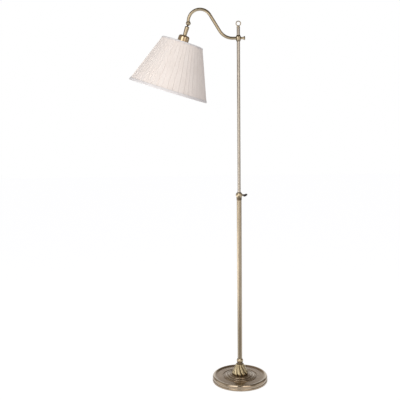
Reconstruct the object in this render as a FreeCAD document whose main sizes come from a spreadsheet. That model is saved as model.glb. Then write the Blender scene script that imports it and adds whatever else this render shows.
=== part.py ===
import FreeCAD, Part
import math
import os
import re

import Sketcher
from FreeCAD import Placement, Rotation, Vector

# A bridge floor lamp: a weighted round base, a two-part telescopic post, a swan-neck arm
# and a pleated shade that hangs from a slotted ball knuckle. Millimetres, +Z up.
# The origin is the centre of the base's underside. The arm reaches out along -X.

DOCUMENT = "BridgeFloorLamp"
SHEET = "Sizes"

# The driving dimensions: name, value, and what it measures.
DIMENSIONS = [
    ("base_radius", 115, "lower tier of the base"),
    ("base_tier", 7.4, "top of the lower tier's wall"),
    ("felt_thickness", 1.5, "felt pad under the base"),
    ("felt_radius", 112, "felt pad under the base"),
    ("rim_bead", 7.5, "radius of the rolled rim's section"),
    ("rim_bead_level", 17.5, "height of the rolled rim's widest line"),
    ("weight_radius", 110.5, "cast iron weight"),
    ("weight_edge", 9.5, "height of the weight's outer wall"),
    ("cover_seat", 28.3, "underside of the cover's flat centre"),
    ("cover_top", 30, "top of the cover's flat centre"),
    ("groove_radius", 70, "turned groove in the cover"),
    ("outer_ring", 57, "turned half-round ring in the cover"),
    ("inner_ring", 46.5, "turned half-round ring in the cover"),
    ("ring_bead", 1.9, "radius of the turned rings' section"),
    ("inlet_level", 10.5, "centre of the flex inlet at the back of the base"),
    ("inlet_bore", 3.1, "radius of the inlet's bore"),
    ("inlet_barrel", 5, "outer radius of the inlet's barrel"),
    ("channel_width", 11, "flex channel under the weight"),
    ("channel_top", 16, "top of the flex channel"),
    ("nipple_radius", 5, "hollow tie rod through the base, outside"),
    ("nipple_bore", 3.5, "hollow tie rod, inside"),
    ("tie_clearance", 0.3, "play of the holes that the tie rod passes through"),
    ("tie_nut_corner", 8.8, "nut on the tie rod, from its axis to a corner"),
    ("tie_nut_height", 5.2, "nut on the tie rod"),
    ("tie_washer_thickness", 1.2, "washer on the tie rod"),
    ("nut_recess_radius", 17, "recess for the nut under the weight"),
    ("nut_recess_top", 12, "recess for the nut under the weight"),
    ("boss_radius", 34.5, "swirl boss, widest line"),
    ("boss_tuck", 0.93, "radius at the boss's foot over its widest radius"),
    ("boss_flare", 1, "power of the boss's outline; 1 is a straight cone"),
    ("boss_foot", 36.5, "height of the boss's widest line"),
    ("boss_neck", 16.5, "swirl boss, top"),
    ("boss_top", 73.5, "height of the swirl boss's top"),
    ("boss_lobes", 10, "spiral lobes round the boss"),
    ("boss_twist", 33, "degrees that a lobe turns from foot to top"),
    ("boss_hollow", 0.8, "radius in the valleys over radius on the lobes"),
    ("base_ball", 13.8, "radius of the ball above the boss"),
    ("ball_collar", 13, "collar under that ball"),
    ("base_ball_level", 87, "centre of that ball"),
    ("lower_tube", 9.7, "outer radius"),
    ("lower_bore", 7.8, "inner radius"),
    ("lower_foot", 90, "height of the lower tube's lower end"),
    ("lower_top", 778, "height of the lower tube's upper end"),
    ("insert_length", 18, "threaded plug in the lower tube's foot"),
    ("clamp_ball", 13.7, "radius of the clamp ball"),
    ("clamp_level", 788.5, "centre of the clamp ball"),
    ("bush_radius", 7.4, "sliding bush in the clamp ball, outside"),
    ("bush_top", 797, "top of that bush"),
    ("running_play", 0.05, "radial play of sliding and turning fits"),
    ("screw_radius", 2.5, "clamp screw"),
    ("screw_tip", 8.65, "distance of the screw's tip from the post's axis"),
    ("screw_collar", 14, "where the screw's collar starts"),
    ("paddle_start", 16.5, "where the screw's paddle starts"),
    ("paddle_reach", 25, "centre of the paddle"),
    ("paddle_half_length", 9, "half the oval's length"),
    ("paddle_half_width", 4.8, "half the oval's width"),
    ("paddle_half_thickness", 2.4, "half the oval's thickness"),
    ("paddle_tilt", 27, "degrees that the paddle leans"),
    ("upper_tube", 6.4, "outer radius"),
    ("upper_bore", 5.4, "inner radius"),
    ("upper_foot", 750, "height of the upper tube's lower end"),
    ("upper_top", 1447, "height of the upper tube's upper end"),
    ("guide_radius", 7.72, "guide bush at the upper tube's foot, outside"),
    ("guide_length", 20, "guide bush at the upper tube's foot"),
    ("snap_ring", 3.2, "length of a ring that holds the guide bush"),
    ("snap_gap", 0.3, "end play of the guide bush"),
    ("cross_level", 1406, "height of the arm's axis at the post"),
    ("cross_waist", 10.6, "radius of the cross fitting's middle"),
    ("cross_end", 7.2, "radius of the cross fitting's ends"),
    ("cross_half", 12, "half the cross fitting's height"),
    ("cross_curve", 22.9, "radius of the cross fitting's outline"),
    ("arm_radius", 6, "swan-neck tube, outside"),
    ("arm_bore", 5, "swan-neck tube, inside"),
    ("arm_start", 7.4, "distance of the tube's end from the post's axis"),
    ("wire_hole", 3, "radius of the hole that the wires take into the arm"),
    ("arm_first_run", 21.3, "distance where the first bend starts"),
    ("arm_lower_bend", 60, "centre-line radius of the first bend"),
    ("arm_rise_angle", 58.5, "degrees that the arm climbs"),
    ("arm_rising_run", 71.4, "straight between the bends"),
    ("arm_crook_bend", 45.4, "centre-line radius of the crook"),
    ("trumpet_spigot", 3, "threaded spigot of the trumpet nut"),
    ("trumpet_radius", 8, "mouth of the trumpet nut"),
    ("trumpet_end", 26.6, "reach of the trumpet nut"),
    ("loop_radius", 8.9, "centre-line radius of the finial's loop"),
    ("loop_wire", 1.85, "radius of the finial's wire"),
    ("loop_level", 1461.5, "centre of the finial's loop"),
    ("knuckle_ball", 9.6, "radius of the knuckle"),
    ("knuckle_shoulder", 7, "seat of the arm's end above the pivot"),
    ("knuckle_slot", 4.6, "width of the knuckle's slot"),
    ("slot_top", 5.3, "top of the slot above the pivot"),
    ("knuckle_bore", 2.6, "wire hole in the knuckle's neck"),
    ("spigot_length", 5, "knuckle's spigot in the arm"),
    ("seat_level", 6.4, "seats of the pivot screw's head and nut, from the middle"),
    ("tongue_thickness", 3.6, "tongue in the slot"),
    ("washer_thickness", 0.4, "friction washer each side of the tongue"),
    ("tongue_eye", 4.6, "radius of the tongue's eye"),
    ("tongue_neck", 3, "half the tongue's width above its eye"),
    ("pivot_radius", 2, "pivot screw"),
    ("pivot_head", 3.2, "radius of the pivot screw's head"),
    ("driver_slot", 0.8, "width of the slot in the pivot screw's head"),
    ("pivot_nut_corner", 3.7, "nut on the pivot screw, from its axis to a corner"),
    ("pivot_nut_height", 2.4, "nut on the pivot screw"),
    ("shade_lean", 18, "degrees that the shade hangs out from straight down"),
    ("stem_top", 12.5, "start of the turned stem below the pivot"),
    ("stem_end", 48.3, "end of the turned stem below the pivot"),
    ("stem_radius", 8.8, "turned stem, at its shoulder"),
    ("stem_waist", 7.4, "turned stem, above its foot"),
    ("joint_radius", 4, "hollow nipple that joins stem, cup and lampholder"),
    ("joint_bore", 2.6, "bore of that nipple"),
    ("joint_nut_corner", 7.4, "nut on that nipple, from its axis to a corner"),
    ("joint_nut_height", 3.5, "nut on that nipple"),
    ("cup_radius", 22.5, "rim of the lampholder cup"),
    ("cup_rim", 85.5, "rim of the cup below the pivot"),
    ("cup_sheet", 1, "spun sheet of the cup"),
    ("holder_radius", 17.6, "lampholder inside the cup"),
    ("holder_bore", 14.7, "lampholder's skirt, inside"),
    ("holder_thread", 18.6, "lampholder's thread for the shade ring"),
    ("holder_joint", 69.5, "joint between the lampholder's two parts, below the pivot"),
    ("flange_thickness", 2.4, "lampholder's flange under the cup"),
    ("ring_radius", 24.5, "shade ring, outside"),
    ("ring_height", 6, "shade ring"),
    ("holder_end", 101.5, "mouth of the lampholder below the pivot"),
    ("shell_bore", 13.45, "lampholder thread for a 27 mm screw cap"),
    ("shell_sheet", 0.5, "sheet of that thread's shell"),
    ("contact_level", 74.3, "tip of the bulb's cap, below the pivot"),
    ("bulb_radius", 30, "bulb glass"),
    ("glass_wall", 0.8, "bulb glass"),
    ("bulb_end", 181.5, "lowest point of the bulb below the pivot"),
    ("shade_top", 75.3, "upper edge of the shade below the pivot"),
    ("shade_height", 196.8, "along the shade's own axis"),
    ("shade_top_radius", 81.5, "over the pleats"),
    ("shade_foot_radius", 159.5, "over the pleats"),
    ("pleats", 44, "pleats round the shade"),
    ("pleat_ratio", 0.984, "radius in the valleys over radius on the crests"),
    ("cloth_thickness", 0.6, "pleated cloth"),
    ("lining_ratio", 0.9755, "outside of the lining over the pleats' crests"),
    ("lining_thickness", 0.8, "laminated lining"),
    ("shade_wire", 1.8, "radius of the shade's wires"),
    ("wire_inset", 3, "centre of a wire from the shade's edge"),
    ("spider_thickness", 3, "spider's ring between the flange and the shade ring"),
    ("spider_arm", 5, "width of the spider's arms"),
    ("top_trim_height", 6, "ribbon on the shade's upper edge"),
    ("foot_trim_height", 10, "ribbon on the shade's lower edge"),
    ("trim_thickness", 0.5, "ribbon on the shade's edges"),
]
NAMES = {name for name, value, note in DIMENSIONS}

doc = FreeCAD.newDocument(DOCUMENT)
sheet = doc.addObject("Spreadsheet::Sheet", SHEET)
for row, (name, value, note) in enumerate(DIMENSIONS, start=1):
    sheet.set(f"A{row}", name)
    sheet.set(f"B{row}", str(value))
    sheet.setAlias(f"B{row}", name)
    sheet.set(f"C{row}", note)
doc.recompute()

# Lengths along the arm, worked out from its bends. The crook's centre lies straight
# inboard of the knuckle, because the tube ends pointing straight down.
RISE = "(arm_rise_angle * 1 deg)"
BEND_END_X = f"(-arm_first_run - arm_lower_bend * sin{RISE})"
BEND_END_Z = f"(cross_level + arm_lower_bend * (1 - cos{RISE}))"
CROOK_START_X = f"({BEND_END_X} - arm_rising_run * cos{RISE})"
CROOK_START_Z = f"({BEND_END_Z} + arm_rising_run * sin{RISE})"
PIVOT_X = f"({CROOK_START_X} - arm_crook_bend * (1 + sin{RISE}))"
ARM_END_Z = f"({CROOK_START_Z} - arm_crook_bend * cos{RISE})"
PIVOT_Z = f"({ARM_END_Z} - knuckle_shoulder)"


def bound(text):
    """An expression whose named dimensions point at their cells of the sheet."""
    return re.sub(r"[a-z_]+", lambda m: f"{SHEET}.{m.group()}" if m.group() in NAMES else m.group(), text)


def number(text):
    """The value that an expression has now."""
    return float(sheet.evalExpression(bound(text)))


def drive(item, **settings):
    """Binds properties of an object to expressions; a double underscore stands for a dot."""
    for key, text in settings.items():
        item.setExpression(key.replace("__", "."), bound(text))


def new_body(label):
    body = doc.addObject("PartDesign::Body", label)
    body.Label = label
    return body


def new_sketch(body, name, plane, level=None):
    """An empty sketch on one of the body's origin planes, or at a level above that plane."""
    sketch = body.newObject("Sketcher::SketchObject", name)
    support = next(item for item in body.Origin.OriginFeatures if item.Role == plane)
    sketch.AttachmentSupport = [(support, "")]
    sketch.MapMode = "FlatFace"
    if level:
        drive(sketch, AttachmentOffset__Base__z=level)
    return sketch


def datum(sketch, kind, where, text):
    """A dimension in a sketch, bound to its expression."""
    index = sketch.addConstraint(Sketcher.Constraint(kind, *where, number(text)))
    drive(sketch, **{f"Constraints[{index}]": text})


def edge_between(start, end, bend):
    """The line or arc from start to end, and which of its ends lies at start. A 'round' arc
    turns left on the way and a 'hollow' one turns right; both stay under a half turn."""
    if not bend:
        return Part.LineSegment(Vector(*start), Vector(*end)), (1, 2)
    turn, radius = bend[0], number(bend[1])
    run = Vector(*end) - Vector(*start)
    height = math.sqrt(radius**2 - run.Length**2 / 4)
    left = Vector(-run.y, run.x, 0).normalize()
    side = 1 if turn == "round" else -1
    middle = Vector(*start) + run / 2 + left * height * side
    first, last = (start, end) if side > 0 else (end, start)
    angles = [math.atan2(y - middle.y, x - middle.x) for x, y in (first, last)]
    circle = Part.Circle(middle, Vector(0, 0, 1), radius)
    return Part.ArcOfCircle(circle, *angles), (1, 2) if side > 0 else (2, 1)


def draw(sketch, points, closed=True):
    """Draws an outline through points. A point is (across, up), and one that an arc follows
    adds its kind and its radius. Every point and radius is held by a bound dimension."""
    places = [(number(point[0]), number(point[1])) for point in points]
    count = len(points) if closed else len(points) - 1
    ends = []
    for index in range(count):
        following = places[(index + 1) % len(places)]
        edge, order = edge_between(places[index], following, points[index][2:])
        ends.append((sketch.addGeometry(edge, False), order))
    for index, (edge, order) in enumerate(ends):
        if closed or index + 1 < count:
            following, after = ends[(index + 1) % count]
            sketch.addConstraint(Sketcher.Constraint("Coincident", edge, order[1], following, after[0]))
        datum(sketch, "DistanceX", (-1, 1, edge, order[0]), points[index][0])
        datum(sketch, "DistanceY", (-1, 1, edge, order[0]), points[index][1])
        if points[index][2:]:
            datum(sketch, "Radius", (edge,), points[index][3])
    if not closed:
        datum(sketch, "DistanceX", (-1, 1, edge, order[1]), points[-1][0])
        datum(sketch, "DistanceY", (-1, 1, edge, order[1]), points[-1][1])


def circle(sketch, across, up, radius):
    """Draws a circle whose centre and radius are held by bound dimensions."""
    centre = Vector(number(across), number(up), 0)
    index = sketch.addGeometry(Part.Circle(centre, Vector(0, 0, 1), number(radius)), False)
    datum(sketch, "DistanceX", (-1, 1, index, 3), across)
    datum(sketch, "DistanceY", (-1, 1, index, 3), up)
    datum(sketch, "Radius", (index,), radius)


def turned(label, points):
    """A piece turned about its Z axis; a point of its outline is (radius, height)."""
    body = new_body(label)
    sketch = new_sketch(body, f"{label}_outline", "XZ_Plane")
    draw(sketch, points)
    turning = body.newObject("PartDesign::Revolution", f"{label}_turning")
    turning.Profile = sketch
    turning.ReferenceAxis = (sketch, ["V_Axis"])
    turning.Angle = 360
    return body


def sleeve(label, inner, outer, low, high):
    """A plain tube between two heights."""
    return turned(label, [(inner, low), (outer, low), (outer, high), (inner, high)])


def cut(body, sketch, depth, towards=False, both_ways=False):
    """Cuts a sketch out of a body, on its plane's back, towards its front or both ways."""
    pocket = body.newObject("PartDesign::Pocket", f"{sketch.Name}_cut")
    pocket.Profile = sketch
    pocket.Reversed = towards
    pocket.Midplane = both_ways
    drive(pocket, Length=depth)
    return pocket


def pin(label, radius, length):
    """A plain cylinder along Z, from its Placement upwards."""
    cylinder = doc.addObject("Part::Cylinder", label)
    drive(cylinder, Radius=radius, Height=length)
    return cylinder


def boolean(kind, label, base, tool):
    """The fusion or cut of two objects, under a label of its own."""
    result = doc.addObject(kind, label)
    result.Base = base
    result.Tool = tool
    result.Label = label
    return result


def hex_nut(label, corner, height, thread, level):
    """A hexagon nut that stands on a level; its bore has the thread's outside radius."""
    blank = doc.addObject("Part::Prism", f"{label}_blank")
    blank.Polygon = 6
    drive(blank, Circumradius=corner, Height=height)
    place(blank, z=level)
    bore = place(pin(f"{label}_bore", thread, f"{height} + 2"), z=f"{level} - 1")
    return boolean("Part::Cut", label, blank, bore)


def place(item, x="0", y="0", z="0", axis=(0, 0, 1), angle=None):
    """Puts an object at expressions for its place, turned about one axis."""
    item.Placement = Placement(Vector(), Rotation(Vector(*axis), 1 if angle else 0))
    drive(item, Placement__Base__x=x, Placement__Base__y=y, Placement__Base__z=z)
    if angle:
        drive(item, Placement__Rotation__Angle=f"({angle}) * 1 deg")
    return item


def on_pivot(item):
    """Puts a piece that is drawn about the knuckle's pivot in its place on the arm."""
    return place(item, x=PIVOT_X, z=PIVOT_Z)


def hung(item):
    """Hangs a piece that is drawn about the pivot, straight down, along the shade's axis."""
    return place(item, x=PIVOT_X, z=PIVOT_Z, axis=(0, 1, 0), angle="shade_lean")


# Base


def base_felt():
    """Felt pad that the lamp stands on."""
    return pin("base_felt", "felt_radius", "felt_thickness")


def base_weight():
    """Cast iron disc with a raised hub, a recess for the nut and a channel for the flex."""
    hole = "nipple_radius + tie_clearance"
    body = turned(
        "base_weight",
        [
            ("nut_recess_radius", "felt_thickness"),
            ("weight_radius", "felt_thickness"),
            ("weight_radius", "weight_edge"),
            ("weight_radius - 12.5", "rim_bead_level - 0.3"),
            ("inner_ring - 2.5", "rim_bead_level + 1"),
            ("boss_radius - 3", "cover_seat"),
            (hole, "cover_seat"),
            (hole, "nut_recess_top"),
            ("nut_recess_radius", "nut_recess_top"),
        ],
    )
    channel = new_sketch(body, "flex_channel", "XZ_Plane")
    draw(
        channel,
        [
            ("-channel_width / 2", "felt_thickness - 1"),
            ("channel_width / 2", "felt_thickness - 1"),
            ("channel_width / 2", "channel_top"),
            ("-channel_width / 2", "channel_top"),
        ],
    )
    cut(body, channel, "weight_radius + 1")
    return body


def base_cover():
    """Spun brass cover: a plain lower tier, a rolled rim, a dished plate with a turned
    groove and two half-round rings, and a flat centre for the boss."""
    inside = "base_radius - 2.2"
    body = turned(
        "base_cover",
        [
            ("base_radius", "felt_thickness"),
            ("base_radius", "base_tier"),
            ("base_radius - 0.9", "base_tier + 1"),
            ("base_radius - 2.4", "base_tier + 1.8"),
            ("base_radius - 2.4", "rim_bead_level - 5.2", "round", "rim_bead"),
            ("base_radius - 10.4", "rim_bead_level + 7.04", "hollow", "rim_bead * 2"),
            ("base_radius - 18", "rim_bead_level + 3.1"),
            ("groove_radius + 3", "rim_bead_level + 3.9", "hollow", "2.4"),
            ("groove_radius", "rim_bead_level + 2.2", "hollow", "2.4"),
            ("groove_radius - 3", "rim_bead_level + 4.2"),
            ("outer_ring + ring_bead", "rim_bead_level + 6", "round", "ring_bead + 0.2"),
            ("outer_ring - ring_bead", "rim_bead_level + 6.8"),
            ("inner_ring + ring_bead", "cover_top - 3.3", "round", "ring_bead + 0.2"),
            ("inner_ring - ring_bead", "cover_top - 2.1"),
            ("boss_radius + 3", "cover_top"),
            ("nipple_radius + tie_clearance", "cover_top"),
            ("nipple_radius + tie_clearance", "cover_seat"),
            ("boss_radius", "cover_seat"),
            ("inner_ring - 2", "cover_seat - 3.3"),
            ("outer_ring", "rim_bead_level + 4"),
            ("groove_radius - 3.5", "rim_bead_level + 2.4"),
            ("groove_radius", "rim_bead_level + 0.4"),
            ("groove_radius + 3.5", "rim_bead_level + 2.2"),
            ("base_radius - 17", "rim_bead_level + 1.4"),
            ("base_radius - 11", "rim_bead_level + 5"),
            ("base_radius - 6", "rim_bead_level + 4.4"),
            ("base_radius - 3.9", "rim_bead_level"),
            ("base_radius - 4.4", "base_tier + 2.6"),
            (inside, "base_tier - 0.4"),
            (inside, "felt_thickness"),
        ],
    )
    inlet = new_sketch(body, "inlet_hole", "XZ_Plane")
    circle(inlet, "0", "inlet_level", "inlet_barrel")
    cut(body, inlet, "base_radius + 1")
    return body


def cord_grommet():
    """Insulating bush with a flange, through the cover at the back; the flex comes in here."""
    grommet = turned(
        "cord_grommet",
        [
            ("inlet_bore", "base_radius - 12"),
            ("inlet_barrel", "base_radius - 12"),
            ("inlet_barrel", "base_radius"),
            ("inlet_barrel + 2", "base_radius"),
            ("inlet_barrel + 2", "base_radius + 0.5", "round", "1.6"),
            ("inlet_barrel + 0.4", "base_radius + 2.1"),
            ("inlet_bore", "base_radius + 2.1"),
        ],
    )
    return place(grommet, z="inlet_level", axis=(1, 0, 0), angle="-90")


def base_nipple():
    """Hollow threaded tie rod; it clamps weight, cover, boss and ball to the lower tube."""
    return sleeve("base_nipple", "nipple_bore", "nipple_radius", "4", "lower_foot + insert_length - 2")


def base_washer():
    """Washer between the nut and the weight."""
    low = "nut_recess_top - tie_washer_thickness"
    hole = "nipple_radius + tie_clearance"
    return sleeve("base_washer", hole, "nut_recess_radius - 4", low, "nut_recess_top")


def base_nut():
    """Hexagon nut on the tie rod, in the weight's recess."""
    level = "nut_recess_top - tie_washer_thickness - tie_nut_height"
    return hex_nut("base_nut", "tie_nut_corner", "tie_nut_height", "nipple_radius", level)


def boss_section(level, radius, turn):
    """A ring of round lobes at one level: each lobe is an arc from valley to valley over a
    crest on the stated radius."""
    lobes = round(number("boss_lobes"))
    valley = radius * number("boss_hollow")

    def at(distance, step):
        angle = math.radians(turn) + 2 * math.pi * step / lobes
        return Vector(distance * math.cos(angle), distance * math.sin(angle), level)

    arcs = [
        Part.Arc(at(valley, step), at(radius, step + 0.5), at(valley, step + 1)).toShape()
        for step in range(lobes)
    ]
    return Part.Wire(arcs)


def swirl_boss():
    """Cast boss with round lobes that wind down a cone from the ball to the cover, where they
    are rounded under."""
    low, widest, high = number("cover_top"), number("boss_foot"), number("boss_top")
    foot, neck = number("boss_radius"), number("boss_neck")
    tuck = number("boss_tuck")
    profile = [(low, tuck * foot), ((low + widest) / 2, (tuck + 3) / 4 * foot)]
    for share in (0, 0.25, 0.5, 0.75, 1):
        slim = neck + (foot - neck) * (1 - share) ** number("boss_flare")
        profile.append((widest + (high - widest) * share, slim))
    twist = number("boss_twist") / (high - low)
    sections = [boss_section(level, radius, twist * (high - level)) for level, radius in profile]
    cone = Part.makeLoft(sections, True, False)
    bore = Part.makeCylinder(number("nipple_radius + tie_clearance"), high, Vector(0, 0, low - 1))
    boss = doc.addObject("Part::Feature", "swirl_boss")
    boss.Shape = cone.cut(bore)
    return boss


def base_ball():
    """Turned ball between the boss and the lower tube, with a coved collar below and a socket
    for the tube above."""
    hole = "nipple_radius + tie_clearance"
    neck = "ball_collar - 1.7"
    return turned(
        "base_ball",
        [
            (hole, "boss_top"),
            ("ball_collar", "boss_top"),
            ("ball_collar", "boss_top + 2", "hollow", "4"),
            (neck, f"base_ball_level - sqrt(base_ball ^ 2 - ({neck}) ^ 2)", "round", "base_ball"),
            ("base_ball", "base_ball_level", "round", "base_ball"),
            ("lower_tube", "base_ball_level + sqrt(base_ball ^ 2 - lower_tube ^ 2)"),
            ("lower_tube", "lower_foot"),
            (hole, "lower_foot"),
        ],
    )


# Post


def lower_tube():
    """Lower tube of the post; the upper one slides into it."""
    return sleeve("lower_tube", "lower_bore", "lower_tube", "lower_foot", "lower_top")


def tube_insert():
    """Threaded plug pressed into the lower tube's foot; the tie rod screws into it."""
    return sleeve("tube_insert", "nipple_radius", "lower_bore", "lower_foot", "lower_foot + insert_length")


def clamp_ball():
    """Turned ball on the lower tube's upper end: a tapering skirt over the tube, a seat for
    the sliding bush, and a tapped hole for the thumbscrew."""
    skirt = "lower_tube + 1.2"
    mouth = "upper_tube + 0.3"
    body = turned(
        "clamp_ball",
        [
            ("lower_tube", "lower_top - 10"),
            ("lower_tube + 0.5", "lower_top - 10"),
            (skirt, f"clamp_level - sqrt(clamp_ball ^ 2 - ({skirt}) ^ 2)", "round", "clamp_ball"),
            ("clamp_ball", "clamp_level", "round", "clamp_ball"),
            (mouth, f"clamp_level + sqrt(clamp_ball ^ 2 - ({mouth}) ^ 2)"),
            (mouth, "bush_top"),
            ("bush_radius", "bush_top"),
            ("bush_radius", "lower_top"),
            ("lower_tube", "lower_top"),
        ],
    )
    hole = new_sketch(body, "clamp_screw_hole", "YZ_Plane")
    circle(hole, "0", "clamp_level", "screw_radius + running_play")
    cut(body, hole, "clamp_ball + 1", towards=True)
    return body


def neck_bush():
    """Nylon bush in the clamp ball that the upper tube slides in."""
    body = sleeve("neck_bush", "upper_tube + running_play", "bush_radius", "lower_top", "bush_top")
    hole = new_sketch(body, "bush_screw_hole", "YZ_Plane")
    circle(hole, "0", "clamp_level", "screw_radius + running_play")
    cut(body, hole, "clamp_ball", towards=True)
    return body


def clamp_pad():
    """Brass pad that the thumbscrew presses on the upper tube."""
    start = "upper_tube + running_play"
    pad = pin("clamp_pad", "screw_radius", f"screw_tip - ({start})")
    return place(pad, x=start, z="clamp_level", axis=(0, 1, 0), angle="90")


def thumbscrew_shank():
    """Brass clamp screw with a collar, and a tang that the paddle is moulded on."""
    shank = turned(
        "thumbscrew_shank",
        [
            ("0", "screw_tip"),
            ("screw_radius", "screw_tip"),
            ("screw_radius", "screw_collar"),
            ("screw_radius + 1", "screw_collar", "round", "1.3"),
            ("screw_radius + 1", "paddle_start"),
            ("0", "paddle_start"),
        ],
    )
    return place(shank, z="clamp_level", axis=(0, 1, 0), angle="90")


def thumbscrew_paddle():
    """Black moulded thumb piece: a flattened oval that leans across the screw's axis, on a
    short cone."""
    oval = doc.addObject("Part::Ellipsoid", "paddle_oval")
    drive(
        oval,
        Radius1="paddle_half_width",
        Radius2="paddle_half_length",
        Radius3="paddle_half_thickness",
    )
    place(oval, x="paddle_reach", z="clamp_level - 0.8", axis=(0, 1, 0), angle="-paddle_tilt")
    neck = doc.addObject("Part::Cone", "paddle_neck")
    drive(neck, Radius1="screw_radius + 0.6", Radius2="2.2", Height="paddle_reach - paddle_start")
    place(neck, x="paddle_start", z="clamp_level", axis=(0, 1, 0), angle="90")
    return boolean("Part::Fuse", "thumbscrew_paddle", neck, oval)


# Column: what slides and turns in the lower tube


def foot_bush():
    """Nylon ring on the upper tube's foot; it slides in the lower tube, and the upper tube
    turns in it."""
    low = "upper_foot + snap_ring + snap_gap"
    return sleeve("foot_bush", "upper_tube + running_play", "guide_radius", low, f"{low} + guide_length")


def foot_rings():
    """Two snap rings on the upper tube that hold the guide bush."""
    upper = "upper_foot + snap_ring + 2 * snap_gap + guide_length"
    outer = "upper_tube + 1"
    rings = doc.addObject("Part::Compound", "foot_rings")
    rings.Links = [
        sleeve("foot_ring_lower", "upper_tube", outer, "upper_foot", "upper_foot + snap_ring"),
        sleeve("foot_ring_upper", "upper_tube", outer, upper, f"{upper} + snap_ring"),
    ]
    rings.Label = "foot_rings"
    return rings


def upper_tube():
    """Upper tube of the post, with a hole where the wires pass into the arm."""
    body = sleeve("upper_tube", "upper_bore", "upper_tube", "upper_foot", "upper_top")
    hole = new_sketch(body, "wire_outlet", "YZ_Plane")
    circle(hole, "0", "cross_level", "wire_hole")
    cut(body, hole, "upper_tube + 1")
    return body


def cross_ball():
    """Turned barrel on the upper tube, with a socket for the arm and a tapped hole for the
    trumpet nut."""
    body = turned(
        "cross_ball",
        [
            ("upper_tube", "cross_level - cross_half"),
            ("cross_end", "cross_level - cross_half", "round", "cross_curve"),
            ("cross_end", "cross_level + cross_half"),
            ("upper_tube", "cross_level + cross_half"),
        ],
    )
    socket = new_sketch(body, "arm_socket", "YZ_Plane", level="-arm_start")
    circle(socket, "0", "cross_level", "arm_radius")
    cut(body, socket, "cross_waist")
    wire_way = new_sketch(body, "wire_way", "YZ_Plane")
    circle(wire_way, "0", "cross_level", "wire_hole")
    cut(body, wire_way, "cross_waist")
    tapped = new_sketch(body, "trumpet_hole", "YZ_Plane")
    circle(tapped, "0", "cross_level", "trumpet_spigot")
    cut(body, tapped, "cross_waist + 1", towards=True)
    return body


def arm_tube():
    """Swan-neck tube: level out of the cross fitting, up through a wide bend, over the crook
    and straight down to the knuckle."""
    body = new_body("arm_tube")
    path = new_sketch(body, "arm_path", "XZ_Plane")
    draw(
        path,
        [
            ("-arm_start", "cross_level"),
            ("-arm_first_run", "cross_level", "hollow", "arm_lower_bend"),
            (BEND_END_X, BEND_END_Z),
            (CROOK_START_X, CROOK_START_Z, "round", "arm_crook_bend"),
            (PIVOT_X, ARM_END_Z),
        ],
        closed=False,
    )
    section = new_sketch(body, "arm_section", "YZ_Plane", level="-arm_start")
    circle(section, "0", "cross_level", "arm_radius")
    circle(section, "0", "cross_level", "arm_bore")
    pipe = body.newObject("PartDesign::AdditivePipe", "arm_bending")
    pipe.Profile = section
    pipe.Spine = path
    return body


def arm_nut():
    """Trumpet-shaped nut on the side of the cross fitting away from the arm."""
    seat = "cross_waist - 0.1"
    nut = turned(
        "arm_nut",
        [
            ("0", "upper_tube + 0.6"),
            ("trumpet_spigot", "upper_tube + 0.6"),
            ("trumpet_spigot", seat),
            ("4.8", seat),
            ("4.5", "15", "hollow", "16"),
            ("trumpet_radius", "trumpet_end - 3", "round", "2"),
            ("trumpet_radius - 1", "trumpet_end - 0.8"),
            ("2.5", "trumpet_end"),
            ("0", "trumpet_end"),
        ],
    )
    return place(nut, z="cross_level", axis=(0, 1, 0), angle="90")


def ring_finial():
    """Cast loop finial: an open ring on a plug with a collar, which closes the post."""
    foot = turned(
        "finial_foot",
        [
            ("0", "upper_top - 10"),
            ("upper_bore", "upper_top - 10"),
            ("upper_bore", "upper_top"),
            ("upper_tube + 0.4", "upper_top"),
            ("upper_tube + 0.4", "upper_top + 2.6"),
            ("4.2", "upper_top + 4.2", "hollow", "3"),
            ("3", "loop_level - loop_radius"),
            ("0", "loop_level - loop_radius"),
        ],
    )
    loop = doc.addObject("Part::Torus", "finial_loop")
    drive(loop, Radius1="loop_radius", Radius2="loop_wire")
    place(loop, z="loop_level", axis=(1, 0, 0), angle="90")
    return boolean("Part::Fuse", "ring_finial", foot, loop)


# Knuckle, fixed to the arm's end


def knuckle_ball():
    """Slotted ball at the arm's end: a spigot in the tube, two cheeks for the tongue, and a
    seat for the pivot screw's head in the front cheek and for its nut in the back one."""
    spigot = "arm_bore - 0.3"
    body = turned(
        "knuckle_ball",
        [
            ("0", "-knuckle_ball", "round", "knuckle_ball"),
            ("knuckle_ball", "0", "round", "knuckle_ball"),
            ("sqrt(knuckle_ball ^ 2 - knuckle_shoulder ^ 2)", "knuckle_shoulder"),
            (spigot, "knuckle_shoulder"),
            (spigot, "knuckle_shoulder + spigot_length"),
            ("knuckle_bore", "knuckle_shoulder + spigot_length"),
            ("knuckle_bore", "slot_top - 0.5"),
            ("0", "slot_top - 0.5"),
        ],
    )
    slot = new_sketch(body, "tongue_slot", "YZ_Plane")
    draw(
        slot,
        [
            ("-knuckle_slot / 2", "-knuckle_ball - 1"),
            ("knuckle_slot / 2", "-knuckle_ball - 1"),
            ("knuckle_slot / 2", "slot_top"),
            ("-knuckle_slot / 2", "slot_top"),
        ],
    )
    cut(body, slot, "knuckle_ball * 2 + 2", both_ways=True)
    hole = new_sketch(body, "pivot_hole", "XZ_Plane")
    circle(hole, "0", "0", "pivot_radius + running_play")
    cut(body, hole, "knuckle_ball * 2 + 2", both_ways=True)
    head_seat = new_sketch(body, "head_seat", "XZ_Plane", level="seat_level")
    circle(head_seat, "0", "0", "pivot_head + 0.3")
    cut(body, head_seat, "knuckle_ball", towards=True)
    nut_seat = new_sketch(body, "nut_seat", "XZ_Plane", level="-seat_level")
    circle(nut_seat, "0", "0", "pivot_nut_corner + 0.2")
    cut(body, nut_seat, "knuckle_ball")
    return on_pivot(body)


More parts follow.
